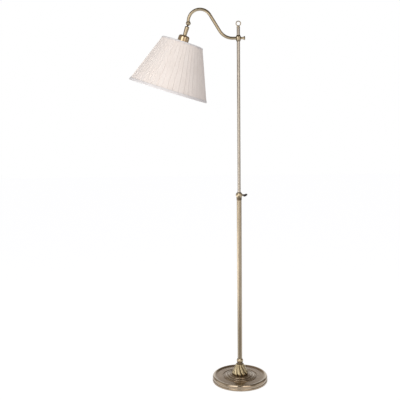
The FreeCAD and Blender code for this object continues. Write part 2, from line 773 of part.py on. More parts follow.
def pivot_screw():
    """Pivot screw with a domed, slotted head, from the front."""
    screw = turned(
        "pivot_screw",
        [
            ("0", "-knuckle_ball - 0.6"),
            ("1.8", "-knuckle_ball - 0.3", "round", "2"),
            ("pivot_head", "-knuckle_ball + 1"),
            ("pivot_head", "-seat_level"),
            ("pivot_radius", "-seat_level"),
            ("pivot_radius", "seat_level + pivot_nut_height"),
            ("0", "seat_level + pivot_nut_height"),
        ],
    )
    slot = new_sketch(screw, "driver_slot_outline", "XZ_Plane")
    draw(
        slot,
        [
            ("-driver_slot / 2", "-knuckle_ball - 1"),
            ("driver_slot / 2", "-knuckle_ball - 1"),
            ("driver_slot / 2", "-knuckle_ball + 0.6"),
            ("-driver_slot / 2", "-knuckle_ball + 0.6"),
        ],
    )
    cut(screw, slot, "pivot_head * 2 + 2", both_ways=True)
    return place(screw, x=PIVOT_X, z=PIVOT_Z, axis=(1, 0, 0), angle="-90")


def pivot_nut():
    """Hexagon nut on the pivot screw, in the back cheek's seat."""
    nut = hex_nut("pivot_nut", "pivot_nut_corner", "pivot_nut_height", "pivot_radius", "seat_level")
    return place(nut, x=PIVOT_X, z=PIVOT_Z, axis=(1, 0, 0), angle="-90")


def friction_washers():
    """A thin washer on each side of the tongue."""
    washers = doc.addObject("Part::Compound", "friction_washers")
    front = "-knuckle_slot / 2"
    back = "knuckle_slot / 2 - washer_thickness"
    bore, rim = "pivot_radius + running_play", "tongue_eye - 0.2"
    washers.Links = [
        sleeve("front_washer", bore, rim, front, f"{front} + washer_thickness"),
        sleeve("back_washer", bore, rim, back, f"{back} + washer_thickness"),
    ]
    washers.Label = "friction_washers"
    return place(washers, x=PIVOT_X, z=PIVOT_Z, axis=(1, 0, 0), angle="-90")


# Head: what tilts on the pivot. Each piece is drawn hanging straight down from the pivot.


def tongue_stem():
    """Turned stem with a flat tongue whose eye turns on the pivot screw."""
    body = turned(
        "tongue_stem",
        [
            ("2.8", "-stem_end"),
            ("stem_waist + 0.6", "-stem_end"),
            ("stem_waist + 0.6", "-stem_end + 1.5"),
            ("stem_waist", "-stem_end + 2.5"),
            ("stem_radius", "-stem_top - 3.4", "round", "3.6"),
            ("stem_radius - 3", "-stem_top"),
            ("0", "-stem_top"),
            ("0", "-stem_top - 12"),
            ("2.8", "-stem_top - 12"),
        ],
    )
    tongue = new_sketch(body, "tongue_outline", "XZ_Plane")
    reach = "-sqrt(tongue_eye ^ 2 - tongue_neck ^ 2)"
    draw(
        tongue,
        [
            ("-tongue_neck", "-stem_top - 0.5"),
            ("tongue_neck", "-stem_top - 0.5"),
            ("tongue_neck", reach, "round", "tongue_eye"),
            ("0", "tongue_eye", "round", "tongue_eye"),
            ("-tongue_neck", reach),
        ],
    )
    blade = body.newObject("PartDesign::Pad", "tongue_blade")
    blade.Profile = tongue
    blade.Midplane = True
    drive(blade, Length="tongue_thickness")
    hole = new_sketch(body, "tongue_hole", "XZ_Plane")
    circle(hole, "0", "0", "pivot_radius + running_play")
    cut(body, hole, "tongue_thickness + 2", both_ways=True)
    return hung(body)


def holder_nipple():
    """Hollow threaded nipple that joins stem, cup and lampholder."""
    return hung(sleeve("holder_nipple", "joint_bore", "joint_radius", "-stem_end - 9.5", "-stem_end"))


def holder_cup():
    """Spun brass cup with a rounded shoulder, over the lampholder."""
    top = "-stem_end"
    return hung(
        turned(
            "holder_cup",
            [
                ("joint_radius", f"{top} - cup_sheet"),
                ("cup_radius - 9", f"{top} - cup_sheet", "hollow", "8.5 - cup_sheet"),
                ("cup_radius - 0.6 - cup_sheet", f"{top} - 8.5"),
                ("cup_radius - cup_sheet", "-cup_rim"),
                ("cup_radius", "-cup_rim"),
                ("cup_radius - 0.6", f"{top} - 8.5", "round", "8.5"),
                ("cup_radius - 9", top),
                ("joint_radius", top),
            ],
        )
    )


def nipple_nut():
    """Hexagon nut that holds cup and lampholder cap on the nipple."""
    level = "-stem_end - cup_sheet - 4 - joint_nut_height"
    return hung(hex_nut("nipple_nut", "joint_nut_corner", "joint_nut_height", "joint_radius", level))


def lampholder_cap():
    """Upper part of the lampholder, a moulded cap in the cup's crown."""
    top = "-stem_end - cup_sheet"
    return hung(
        turned(
            "lampholder_cap",
            [
                ("joint_radius", f"{top} - 4"),
                ("holder_bore - 0.7", f"{top} - 4"),
                ("holder_bore - 0.7", "-holder_joint"),
                ("holder_radius", "-holder_joint"),
                ("holder_radius", f"{top} - 7", "round", "7"),
                ("holder_radius - 7", top),
                ("joint_radius", top),
            ],
        )
    )


def lampholder_body():
    """Moulded skirt of the lampholder, with a floor for the contact, a flange and a thread
    for the shade ring."""
    low_flange = "-cup_rim - flange_thickness"
    return hung(
        turned(
            "lampholder_body",
            [
                ("holder_bore", "-holder_end"),
                ("holder_thread", "-holder_end"),
                ("holder_thread", low_flange),
                ("cup_radius", low_flange),
                ("cup_radius", "-cup_rim"),
                ("holder_radius", "-cup_rim"),
                ("holder_radius", "-holder_joint"),
                ("0", "-holder_joint"),
                ("0", "-holder_joint - 3"),
                ("holder_bore", "-holder_joint - 3"),
            ],
        )
    )


def screw_shell():
    """Thin brass shell that takes the bulb's screw cap, with a flange at its top."""
    inside = "shell_bore"
    outside = "shell_bore + shell_sheet"
    flange = "-holder_joint - 5"
    return hung(
        turned(
            "screw_shell",
            [
                (inside, "-holder_end + 1"),
                (outside, "-holder_end + 1"),
                (outside, f"{flange} - 1"),
                ("holder_bore", f"{flange} - 1"),
                ("holder_bore", flange),
                (inside, flange),
            ],
        )
    )


def centre_contact():
    """Spring contact on the lampholder's floor, pressed by the bulb's tip."""
    low, high = "-contact_level", "-holder_joint - 3"
    return hung(turned("centre_contact", [("0", low), ("4", low), ("5.5", high), ("0", high)]))


def shade_ring():
    """Threaded ring that clamps the shade's spider against the lampholder's flange."""
    top = "-cup_rim - flange_thickness - spider_thickness"
    low = f"{top} - ring_height"
    return hung(
        turned(
            "shade_ring",
            [
                ("holder_thread", low),
                ("ring_radius - 1", low, "round", "1.2"),
                ("ring_radius", f"{low} + 1"),
                ("ring_radius", f"{top} - 1", "round", "1.2"),
                ("ring_radius - 1", top),
                ("holder_thread", top),
            ],
        )
    )


def bulb_cap():
    """Screw cap of the bulb: a thin shell, an insulating ring and the tip."""
    tip = "-contact_level"
    return hung(
        turned(
            "bulb_cap",
            [
                ("12.5", "-holder_end + 0.5"),
                ("shell_bore - 0.35", "-holder_end + 0.5"),
                ("shell_bore - 0.35", f"{tip} - 5"),
                ("9", f"{tip} - 2"),
                ("4.4", f"{tip} - 1"),
                ("3.4", tip),
                ("0", tip),
                ("0", f"{tip} - 3"),
                ("8.4", f"{tip} - 3"),
                ("12.5", f"{tip} - 6"),
            ],
        )
    )


def bulb_glass():
    """Pear-shaped bulb glass, a thin blown shell that is closed in the cap."""
    centre = "-bulb_end + bulb_radius"
    neck = "-holder_end + 0.5"
    wall = "glass_wall"
    return hung(
        turned(
            "bulb_glass",
            [
                ("0", "-bulb_end", "round", "bulb_radius"),
                ("bulb_radius", centre, "round", "bulb_radius"),
                ("bulb_radius * 0.866", f"{centre} + bulb_radius * 0.5"),
                ("14", f"{neck} - 6", "hollow", "20"),
                ("13", neck),
                ("0", neck),
                ("0", f"{neck} - {wall}"),
                ("12.2", f"{neck} - {wall}"),
                (f"14 - {wall}", f"{neck} - 6"),
                (f"bulb_radius * 0.866 - {wall}", f"{centre} + bulb_radius * 0.5 - 0.3"),
                (f"bulb_radius - {wall}", centre, "hollow", f"bulb_radius - {wall}"),
                ("0", f"-bulb_end + {wall}"),
            ],
        )
    )


SHADE_FOOT = "(shade_top + shade_height)"
TOP_WIRE = "(shade_top + wire_inset)"
FOOT_WIRE = f"({SHADE_FOOT} - wire_inset)"


def cone_radius(below):
    """The shade's radius over the pleats, at a distance below the pivot."""
    slope = "(shade_foot_radius - shade_top_radius) / shade_height"
    return f"(shade_top_radius + ({below} - shade_top) * {slope})"


def lining_outside(below):
    """The radius outside the lining, which lies just inside the pleats' valleys."""
    return f"({cone_radius(below)} * lining_ratio)"


def lining_inside(below):
    """The radius inside the lining."""
    return f"({lining_outside(below)} - lining_thickness)"


def wire_circle(below):
    """The centre-line radius of a wire that lies in the ribbon's fold, inside the lining. A
    round wire on a sloping wall sits a little further in than its own radius."""
    return f"({lining_inside(below)} - trim_thickness - 1.08 * shade_wire)"


def shade_spider():
    """Steel fitter: a flat ring on the lampholder and three arms that rise to the top
    wire."""
    seat = "-cup_rim - flange_thickness - spider_thickness"
    hole = "holder_thread + 0.2"
    body = sleeve("shade_spider", hole, "ring_radius + 1", seat, f"{seat} + spider_thickness")
    arm = new_sketch(body, "spider_arm_outline", "XZ_Plane")
    reach = f"({wire_circle(TOP_WIRE)} - shade_wire - 0.05)"
    level = f"-{TOP_WIRE}"
    draw(
        arm,
        [
            ("ring_radius - 1", f"{seat} + 0.4"),
            (reach, f"{level} - 1"),
            (reach, f"{level} + 1"),
            ("ring_radius - 1", f"{seat} + spider_thickness - 0.4"),
        ],
    )
    strip = body.newObject("PartDesign::Pad", "spider_arm")
    strip.Profile = arm
    strip.Midplane = True
    drive(strip, Length="spider_arm")
    around = body.newObject("PartDesign::PolarPattern", "spider_arms")
    around.Originals = [strip]
    axis = next(item for item in body.Origin.OriginFeatures if item.Role == "Z_Axis")
    around.Axis = (axis, [""])
    around.Angle = 360
    around.Occurrences = 3
    body.Tip = around
    return hung(body)


def shade_wire(label, below):
    """A wire ring in the ribbon's fold; its centre lies down the shade's leaning axis."""
    ring = doc.addObject("Part::Torus", label)
    drive(ring, Radius1=wire_circle(below), Radius2="shade_wire")
    lean = "(shade_lean * 1 deg)"
    x = f"{PIVOT_X} - {below} * sin{lean}"
    z = f"{PIVOT_Z} - {below} * cos{lean}"
    return place(ring, x=x, z=z, axis=(0, 1, 0), angle="shade_lean")


def shade_lining():
    """Laminated cone that carries the pleats."""
    return hung(
        turned(
            "shade_lining",
            [
                (lining_inside(SHADE_FOOT), f"-{SHADE_FOOT}"),
                (lining_outside(SHADE_FOOT), f"-{SHADE_FOOT}"),
                (lining_outside("shade_top"), "-shade_top"),
                (lining_inside("shade_top"), "-shade_top"),
            ],
        )
    )


def shade_pleats():
    """Pleated fabric round the lining: every pleat is a crest between two valleys, and all
    its folds run up to the cone's apex, so that each side of a pleat is flat."""
    count = 2 * round(number("pleats"))
    thickness = number("cloth_thickness")

    def ring(radius, level):
        wave = [radius * (1 if step % 2 else number("pleat_ratio")) for step in range(count)]
        turns = [2 * math.pi * step / count for step in range(count)]
        corners = [Vector(r * math.cos(a), r * math.sin(a), level) for r, a in zip(wave, turns)]
        return Part.makePolygon(corners + corners[:1])

    top, foot = number("-shade_top"), number(f"-{SHADE_FOOT}")
    outer = [number("shade_top_radius"), number("shade_foot_radius")]
    inner = [outer[0] - thickness, outer[1] - thickness]
    skins = []
    for radii in (outer, inner):
        rings = [ring(radii[1], foot), ring(radii[0], top)]
        skins.append(Part.makeLoft(rings, True, True))
    pleats = doc.addObject("Part::Feature", "shade_pleats")
    pleats.Shape = skins[0].cut(skins[1])
    return hung(pleats)


def shade_trim(label, edge, height, inward):
    """A ribbon folded over an edge of the shade, outside the pleats and inside the lining.
    inward is the way from the edge into the shade: 1 is down, from the top edge, and -1 is
    up, from the foot."""
    away = f"({edge} + {inward} * {height})"
    fold = f"({edge} - {inward} * trim_thickness)"
    outline = [
        (f"{cone_radius(away)} + trim_thickness", f"-{away}"),
        (f"{cone_radius(fold)} + trim_thickness", f"-{fold}"),
        (f"{lining_inside(fold)} - trim_thickness", f"-{fold}"),
        (f"{lining_inside(away)} - trim_thickness", f"-{away}"),
        (lining_inside(away), f"-{away}"),
        (lining_inside(edge), f"-{edge}"),
        (cone_radius(edge), f"-{edge}"),
        (cone_radius(away), f"-{away}"),
    ]
    return hung(turned(label, outline))


NODES = [
    base_felt(),
    base_weight(),
    base_cover(),
    cord_grommet(),
    base_nipple(),
    base_washer(),
    base_nut(),
    swirl_boss(),
    base_ball(),
    lower_tube(),
    tube_insert(),
    clamp_ball(),
    neck_bush(),
    clamp_pad(),
    thumbscrew_shank(),
    thumbscrew_paddle(),
    foot_bush(),
    foot_rings(),
    upper_tube(),
    cross_ball(),
    arm_tube(),
    arm_nut(),
    ring_finial(),
    knuckle_ball(),
    pivot_screw(),
    pivot_nut(),
    friction_washers(),
    tongue_stem(),
    holder_nipple(),
    holder_cup(),
    nipple_nut(),
    lampholder_cap(),
    lampholder_body(),
    screw_shell(),
    centre_contact(),
    shade_ring(),
    bulb_cap(),
    bulb_glass(),
    shade_spider(),
    shade_wire("shade_top_wire", TOP_WIRE),
    shade_wire("shade_foot_wire", FOOT_WIRE),
    shade_lining(),
    shade_pleats(),
    shade_trim("shade_top_trim", "shade_top", "top_trim_height", 1),
    shade_trim("shade_foot_trim", SHADE_FOOT, "foot_trim_height", -1),
]

doc.recompute()

failed = [item.Name for item in doc.Objects if {"Invalid", "Error"} & set(item.State)]
if failed:
    raise SystemExit(f"these objects failed: {failed}")
for node in NODES:
    if node.Shape.isNull() or not node.Shape.isValid():
        raise SystemExit(f"{node.Label} has no valid shape")

os.makedirs("parts", exist_ok=True)
for node in NODES:
    node.Shape.exportStep(f"parts/{node.Label}.step")
    print(f"{node.Label}: {node.Shape.Volume / 1000:.2f} cm3, {len(node.Shape.Solids)} solids")
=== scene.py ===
import math

import bmesh
import bpy
import numpy as np
from mathutils import Matrix


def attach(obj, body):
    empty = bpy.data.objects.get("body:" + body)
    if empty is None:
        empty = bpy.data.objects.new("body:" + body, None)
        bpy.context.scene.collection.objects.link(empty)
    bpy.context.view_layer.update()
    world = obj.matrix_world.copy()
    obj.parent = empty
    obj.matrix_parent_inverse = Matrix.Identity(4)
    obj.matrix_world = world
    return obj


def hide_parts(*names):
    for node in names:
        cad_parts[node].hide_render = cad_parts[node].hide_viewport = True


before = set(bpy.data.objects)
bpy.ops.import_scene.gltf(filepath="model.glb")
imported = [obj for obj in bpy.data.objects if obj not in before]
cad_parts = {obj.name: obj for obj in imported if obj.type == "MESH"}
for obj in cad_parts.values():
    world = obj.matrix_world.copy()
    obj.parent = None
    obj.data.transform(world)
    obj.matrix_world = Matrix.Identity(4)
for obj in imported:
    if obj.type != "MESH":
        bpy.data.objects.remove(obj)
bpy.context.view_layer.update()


# Camera. The picture was taken from about 2.8 m, a little to the left and at chest height,
# with a long lens that looks down by about nine degrees.

lens = bpy.data.cameras.new("camera")
lens.lens = 62.1
lens.sensor_width = 36
camera = bpy.data.objects.new("camera", lens)
bpy.context.scene.collection.objects.link(camera)
camera.matrix_world = (
    Matrix.Translation((-0.158, -2.75, 1.211))
    @ Matrix.Rotation(math.radians(80.9), 4, "X")
    @ Matrix.Rotation(math.radians(-0.8), 4, "Z")
)
bpy.context.scene.camera = camera
bpy.context.scene.view_settings.view_transform = "Standard"


# Studio. A white room with a softbox at each side of the camera, the left one stronger. What
# gloss sees is a tent round the lamp: walls and a roof of bright and dark cloths, which give
# turned brass its stripes, and a floor that is darker close in front.


def linear(colour):
    """Turns an sRGB hex colour into linear red, green, blue and alpha 1."""
    shades = [int(colour[k : k + 2], 16) / 255 for k in (1, 3, 5)]
    return (*(c / 12.92 if c <= 0.04045 else ((c + 0.055) / 1.055) ** 2.4 for c in shades), 1)


def add(tree, kind, inputs=None, **settings):
    """Adds a shader node with its settings; an input is linked if it is given a socket."""
    node = tree.nodes.new("ShaderNode" + kind)
    for name, value in settings.items():
        setattr(node, name, value)
    for name, value in (inputs or {}).items():
        if isinstance(value, bpy.types.NodeSocket):
            tree.links.new(value, node.inputs[name])
        else:
            node.inputs[name].default_value = value
    return node


def seen_as_background(tree):
    """1 for rays that show the background itself: from the camera, in gloss and in glass."""
    path = add(tree, "LightPath").outputs
    gloss = add(tree, "Math", {0: path["Is Camera Ray"], 1: path["Is Glossy Ray"]}, operation="ADD")
    return add(tree, "Math", {0: gloss.outputs[0], 1: path["Is Transmission Ray"]},
               operation="ADD", use_clamp=True).outputs[0]


world = bpy.data.worlds.new("white room")
world.use_nodes = True
bpy.context.scene.world = world
room = world.node_tree
room.nodes.clear()
fill = add(room, "Background", {"Color": linear("#fbfaff"), "Strength": 0.5})
backdrop = add(room, "Background", {"Color": linear("#ffffff"), "Strength": 1.0})
mixed = add(room, "MixShader", {0: seen_as_background(room), 1: fill.outputs[0], 2: backdrop.outputs[0]})
add(room, "OutputWorld", {"Surface": mixed.outputs[0]})

towards_camera = math.radians(-3.3)


def around(azimuth, distance, height):
    """A point round the lamp: azimuth in degrees from the camera, positive to its right."""
    turn = towards_camera + np.radians(azimuth)
    return np.stack([distance * np.sin(turn), -distance * np.cos(turn), height + 0 * turn], axis=-1)


def softbox(name, azimuth, width, power, colour, low=0.5, high=2.2, distance=1.6):
    """An upright rectangular lamp that faces the post from a distance."""
    lamp = bpy.data.lights.new(name, "AREA")
    lamp.shape = "RECTANGLE"
    lamp.size, lamp.size_y = width, high - low
    lamp.energy = power
    lamp.color = linear(colour)[:3]
    piece = bpy.data.objects.new(name, lamp)
    bpy.context.scene.collection.objects.link(piece)
    place = around(azimuth, distance, (low + high) / 2)
    turned = Matrix.Rotation(towards_camera + math.radians(azimuth), 4, "Z")
    piece.matrix_world = Matrix.Translation(place) @ turned @ Matrix.Rotation(math.radians(90), 4, "X")
    piece.visible_camera = False
    piece.visible_glossy = False


softbox("softbox left", -34, width=1.0, power=12.5, colour="#fffdfb")
softbox("softbox right", 34, width=0.8, power=4.2, colour="#fff6ee")


def surface(name, grid, closed=True, size=(1, 1)):
    """Makes a piece from a grid of points, rows by columns: a quad between each four
    neighbours, and the last column joined to the first if closed. Its UV map "flat" runs
    over size, in metres: along the columns first, then along the rows."""
    rows, columns = grid.shape[:2]
    spans = (columns if closed else columns - 1), rows - 1
    i, j = np.meshgrid(np.arange(spans[1]), np.arange(spans[0]), indexing="ij")
    corners = [(i, j), (i, j + 1), (i + 1, j + 1), (i + 1, j)]
    quads = np.stack([row * columns + column % columns for row, column in corners], axis=-1)
    mesh = bpy.data.meshes.new(name)
    mesh.from_pydata(grid.reshape(-1, 3).tolist(), [], quads.reshape(-1, 4).tolist())
    flat = np.stack([np.stack([c / spans[0] * size[0], r / spans[1] * size[1]], axis=-1)
                     for r, c in corners], axis=-2)
    mesh.uv_layers.new(name="flat").data.foreach_set("uv", flat.ravel())
    mesh.polygons.foreach_set("use_smooth", np.ones(len(mesh.polygons), bool))
    piece = bpy.data.objects.new(name, mesh)
    bpy.context.scene.collection.objects.link(piece)
    return piece


def panel(name, start, end, path, colour, strength):
    """A glowing sheet that gloss alone sees: a path of (distance, height) points is swept
    round the lamp from one azimuth to another."""
    distance, height = np.array(path)[:, :, None].transpose(1, 0, 2)
    piece = surface(name, around(np.linspace(start, end, 19)[None, :], distance, height), closed=False)
    sheet = bpy.data.materials.new(name)
    sheet.use_nodes = True
    sheet.node_tree.nodes.clear()
    light = add(sheet.node_tree, "Emission", {"Color": linear(colour), "Strength": strength})
    add(sheet.node_tree, "OutputMaterial", {"Surface": light.outputs[0]})
    piece.data.materials.append(sheet)
    for ray in ("camera", "diffuse", "transmission", "volume_scatter", "shadow"):
        setattr(piece, "visible_" + ray, False)


wall = [(3.2, 0.0), (3.2, 1.75)]
roof = [(0.6, 1.75), (3.2, 1.75)]
for name, start, end, path, colour, strength in (
    ("wall rear left", -150, -108, wall, "#a8a098", 1.0),
    ("wall left", -108, -62, wall, "#fffaf4", 1.2),
    ("flag left", -62, -49, wall, "#2a2622", 1.0),
    ("card left", -49, -12, wall, "#fffbf6", 2.0),
    ("wall front", -12, 13, wall, "#fff8f0", 0.95),
    ("card right", 13, 48, wall, "#fff6ec", 1.5),
    ("flag right", 48, 62, wall, "#2a2622", 1.0),
    ("wall right", 62, 108, wall, "#fff8f0", 0.85),
    ("wall rear right", 108, 150, wall, "#8f8880", 1.0),
    ("roof middle", 0, 360, [(0.001, 1.75), (0.6, 1.75)], "#8f8981", 1.0),
    ("roof rear left", -180, -49, roof, "#b3aca4", 1.0),
    ("roof card left", -49, -12, roof, "#fffaf4", 3.0),
    ("roof flag", -12, 13, roof, "#1c1815", 1.0),
    ("roof card right", 13, 48, roof, "#fff4ea", 2.2),
    ("roof rear right", 48, 180, roof, "#837c75", 1.0),
    ("floor card", -125, -45, [(1.1, 0.002), (3.2, 0.002)], "#fffaf4", 3.2),
    ("dim floor", -55, 60, [(0.22, 0.001), (1.05, 0.001)], "#a39b93", 1.0),
):
    panel(name, start, end, path, colour, strength)

sweep = np.stack(np.meshgrid(np.linspace(-7, 7, 3), np.linspace(-7, 7, 3)) + [np.zeros((3, 3))], axis=-1)
floor = surface("floor", sweep - (0, 0, 0.0002), closed=False)
paper = bpy.data.materials.new("white paper sweep")
paper.use_nodes = True
paper.node_tree.nodes.clear()
here = seen_as_background(paper.node_tree)
glow = add(paper.node_tree, "Emission", {"Color": linear("#ffffff"), "Strength": add(
    paper.node_tree, "Math", {0: here, 1: 0.85}, operation="MULTIPLY").outputs[0]})
thin = add(paper.node_tree, "Mix", {0: here, 6: linear("#f4f3f2"), 7: linear("#949494")}, data_type="RGBA")
bounce = add(paper.node_tree, "BsdfDiffuse", {"Color": thin.outputs[2]})
both = add(paper.node_tree, "AddShader", {0: bounce.outputs[0], 1: glow.outputs[0]})
add(paper.node_tree, "OutputMaterial", {"Surface": both.outputs[0]})
floor.data.materials.append(paper)


# Felt pad. A disc of dark green pressed wool felt, 1.5 mm thick, glued under the base; its
# punched edge is soft and a little uneven.


def material(name):
    """A material with an empty node tree."""
    made = bpy.data.materials.new(name)
    made.use_nodes = True
    made.node_tree.nodes.clear()
    return made, made.node_tree


def object_place(tree, centre=(0, 0, 0), lean=0.0):
    """The point in the object's own metres, seen from a centre and along a leaning axis."""
    where = add(tree, "TexCoord").outputs["Object"]
    return add(tree, "Mapping", {"Vector": where, "Location": centre, "Rotation": (0, lean, 0)},
               vector_type="TEXTURE").outputs[0]


def noise(tree, place, size, detail=3.0, stretch=(1, 1, 1)):
    """Cloudy noise, 0 to 1, with features of a size in metres, stretched along the axes."""
    spread = add(tree, "Mapping", {"Vector": place, "Scale": [1 / (size * s) for s in stretch]})
    return add(tree, "TexNoise", {"Vector": spread.outputs[0], "Scale": 1.0, "Detail": detail}).outputs[0]


def blended(tree, share, low, high):
    """A colour between two, by a share from 0 to 1."""
    return add(tree, "Mix", {0: share, 6: low, 7: high}, data_type="RGBA").outputs[2]


def between(tree, value, low, high, start=0.3, end=0.7):
    """Maps a value that runs from start to end onto a run from low to high."""
    return add(tree, "MapRange", {"Value": value, 1: start, 2: end, 3: low, 4: high}).outputs[0]


def bump(tree, height, depth, normal=None):
    """A bump whose full height is a depth in metres."""
    links = {"Height": height, "Strength": 1.0, "Distance": depth}
    if normal:
        links["Normal"] = normal
    return add(tree, "Bump", links).outputs[0]


def close(tree, **sockets):
    """Ends a material in one Principled shader with the sockets named in words."""
    named = {key.replace("_", " "): value for key, value in sockets.items()}
    add(tree, "OutputMaterial", {"Surface": add(tree, "BsdfPrincipled", named).outputs[0]})


felt_radius, felt_thick = 0.112, 0.0015
turn = np.linspace(0, 2 * np.pi, 180, endpoint=False)
profile = np.array([(0, 0), (0.3, 0), (0.6, 0), (0.9, 0), (0.992, 0), (0.9975, 0.12), (1, 0.4), (1, 0.7),
                    (0.998, 0.95), (0.992, 1), (0.9, 1), (0.5, 1), (0, 1)])
ragged = 1 - 0.0012 * (1 + np.sin(7 * turn + 1) * np.sin(17 * turn))
out = profile[:, :1] * felt_radius * ragged
up = profile[:, 1:] * felt_thick * (1 - 0.04 * (1 + np.sin(5 * turn)) * (profile[:, :1] > 0.95))
felt = surface("felt_pad", np.stack([out * np.sin(turn), -out * np.cos(turn), up + 0 * turn], axis=-1))
welded = bmesh.new()
welded.from_mesh(felt.data)
bmesh.ops.remove_doubles(welded, verts=welded.verts, dist=1e-6)
welded.to_mesh(felt.data)
welded.free()

# Pressed wool: matt, mottled, with short fibres; fibre clumps are drawn 1.2 mm wide.
wool, tree = material("pressed wool felt")
place = object_place(tree)
clumps = noise(tree, place, 0.0012, 6)
mottle = add(tree, "Mix", {0: 0.5, 2: noise(tree, place, 0.012), 3: clumps}).outputs[0]
close(tree, Base_Color=blended(tree, between(tree, mottle, 0, 1), linear("#2f3b31"), linear("#4c5a4d")),
      Roughness=0.95, Sheen_Weight=0.35, Sheen_Roughness=0.5, Normal=bump(tree, clumps, 0.0003))
felt.data.materials.append(wool)
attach(felt, "stand")
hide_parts("base_felt")


# Weight, tie rod and inlet. A sand-cast iron ring with a channel for the flex fills the base;
# a zinc-plated tie rod, washer and nut pull base, boss and post together, and a moulded bush
# protects the flex where it comes in.


def dress(finish, *nodes):
    """Gives nodes of the frame a material."""
    for node in nodes:
        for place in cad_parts[node].material_slots:
            place.material = finish


# Cast iron: sand grain of half a millimetre and a thin rusty bloom.
iron, tree = material("sand-cast iron")
place = object_place(tree)
grain = noise(tree, place, 0.0006, 5)
bloom = between(tree, noise(tree, place, 0.02, 6), 0, 1, 0.45, 0.7)
close(tree, Base_Color=blended(tree, bloom, linear("#3c3a39"), linear("#5b4436")), Metallic=0.6,
      Roughness=between(tree, grain, 0.6, 0.85), Normal=bump(tree, grain, 0.0003))
dress(iron, "base_weight")

# Zinc plating: bluish bright metal with a faint yellow passivation in patches.
zinc, tree = material("zinc-plated steel")
place = object_place(tree)
patches = noise(tree, place, 0.004)
close(tree, Base_Color=blended(tree, between(tree, patches, 0, 1), linear("#c3c6c8"), linear("#cfc9b4")),
      Metallic=1.0, Roughness=between(tree, noise(tree, place, 0.0008), 0.25, 0.42),
      Normal=bump(tree, noise(tree, place, 0.0004), 0.00002))
dress(zinc, "base_nipple", "base_washer", "base_nut", "tube_insert", "foot_rings", "friction_washers",
      "holder_nipple", "nipple_nut")

# Moulded black plastic: satin, with the fine spark texture of its mould.
plastic, tree = material("moulded black plastic")
spark = noise(tree, object_place(tree), 0.0004)
close(tree, Base_Color=blended(tree, spark, linear("#171310"), linear("#221c18")),
      Roughness=between(tree, spark, 0.32, 0.5), Normal=bump(tree, spark, 0.00003))
dress(plastic, "cord_grommet", "thumbscrew_paddle")


# Base cover. Brass spun over a former: a lower tier, a rolled rim, a dished plate with a
# groove and two half-round rings. It is darkened in a bath, rubbed back and lacquered, so
# dark colour stays in the corners beside each ring.

def antique_brass(name, pale="#b4a890", brown="#988a72", rough=(0.24, 0.13), centre=(0, 0, 0), lean=0.0,
                  line=0.002, darkened=None, polished=None, cloud=0.025):
    """Turned brass, darkened, rubbed back and lacquered. Its colour goes between rubbed pale
    and brown by cloudy noise and by turning lines, which are noise of the distance from the
    axis and the height alone; darkened gives the share of dark colour, which is bath left in
    corners and, on some pieces, painted shade, and polished the share of a bright edge."""
    brass, tree = material(name)
    place = object_place(tree, centre, lean)
    across = add(tree, "VectorMath", {0: place, 1: (1, 1, 0)}, operation="MULTIPLY").outputs[0]
    radius = add(tree, "VectorMath", {0: across}, operation="LENGTH").outputs["Value"]
    height = add(tree, "SeparateXYZ", {0: place}).outputs["Z"]
    section = add(tree, "CombineXYZ", {"X": radius, "Y": height}).outputs[0]
    lines = noise(tree, section, line, 4)
    wear = add(tree, "Mix", {0: 0.45, 2: noise(tree, place, cloud, 4), 3: lines}).outputs[0]
    colour = blended(tree, between(tree, wear, 0, 1), linear(brown), linear(pale))
    rough = between(tree, wear, *rough)
    if darkened:
        # The dark colour is bath left in corners and, on some pieces, painted shade.
        bath = darkened(tree, place, radius, height)
        colour = blended(tree, bath, colour, linear("#46392a"))
        rough = add(tree, "Mix", {0: bath, 2: rough, 3: 0.45}).outputs[0]
    if polished:
        bright = polished(tree, radius)
        colour = blended(tree, bright, colour, linear("#b7aa98"))
        rough = add(tree, "Mix", {0: bright, 2: rough, 3: 0.09}).outputs[0]
    scratches = noise(tree, section, line / 8, 2)
    normal = bump(tree, lines, 0.000006, bump(tree, scratches, 0.000001))
    close(tree, Base_Color=colour, Metallic=1.0, Roughness=rough, Normal=normal,
          Coat_Weight=0.35, Coat_Roughness=0.12)
    return brass


def by_radius(tree, radius, stops):
    """A share that goes straight from stop to stop of (distance from the axis, share). The
    first two stops are the axis and the furthest distance."""
    reach = stops[1][0]
    along = add(tree, "Math", {0: radius, 1: reach}, operation="DIVIDE").outputs[0]
    ramp = add(tree, "ValToRGB", {0: along})
    points = ramp.color_ramp.elements
    for k, (at, share) in enumerate(stops):
        point = points[k] if k < 2 else points.new(at / reach)
        point.position, point.color = at / reach, (share, share, share, 1)
    return ramp.outputs[0]


def cover_corners(tree, place, radius, height):
    """Dark bath in the cover's corners: peaks of darkness at the radii of the groove, beside
    the two rings, at the edge of the dish and in the notch under the rolled rim."""
    corners = by_radius(tree, radius, [
        (0, 0.3), (0.12, 0.0), (0.034, 0.6), (0.036, 0.2), (0.0415, 0.1), (0.0442, 0.4), (0.0465, 0.0),
        (0.0488, 0.5), (0.052, 0.15), (0.0545, 0.4), (0.057, 0.0), (0.0594, 0.5), (0.063, 0.15),
        (0.068, 0.05), (0.0698, 0.4), (0.0715, 0.05), (0.085, 0.0), (0.0975, 0.05), (0.0997, 0.15),
        (0.102, 0.0), (0.1118, 0.0), (0.1128, 0.25), (0.1140, 0.0)])
    patchy = between(tree, noise(tree, place, 0.015, 4), 0.5, 1.0)
    return add(tree, "Math", {0: corners, 1: patchy}, operation="MULTIPLY").outputs[0]


def cover_edges(tree, radius):
    """Bright polish on the two half-round rings and on the rolled rim."""
    return by_radius(tree, radius, [
        (0, 0.0), (0.12, 0.3), (0.0445, 0.0), (0.0455, 0.9), (0.0475, 0.9), (0.0485, 0.0), (0.055, 0.0),
        (0.056, 0.9), (0.058, 0.9), (0.059, 0.0), (0.103, 0.0), (0.105, 0.9), (0.1125, 0.9), (0.1145, 0.3)])


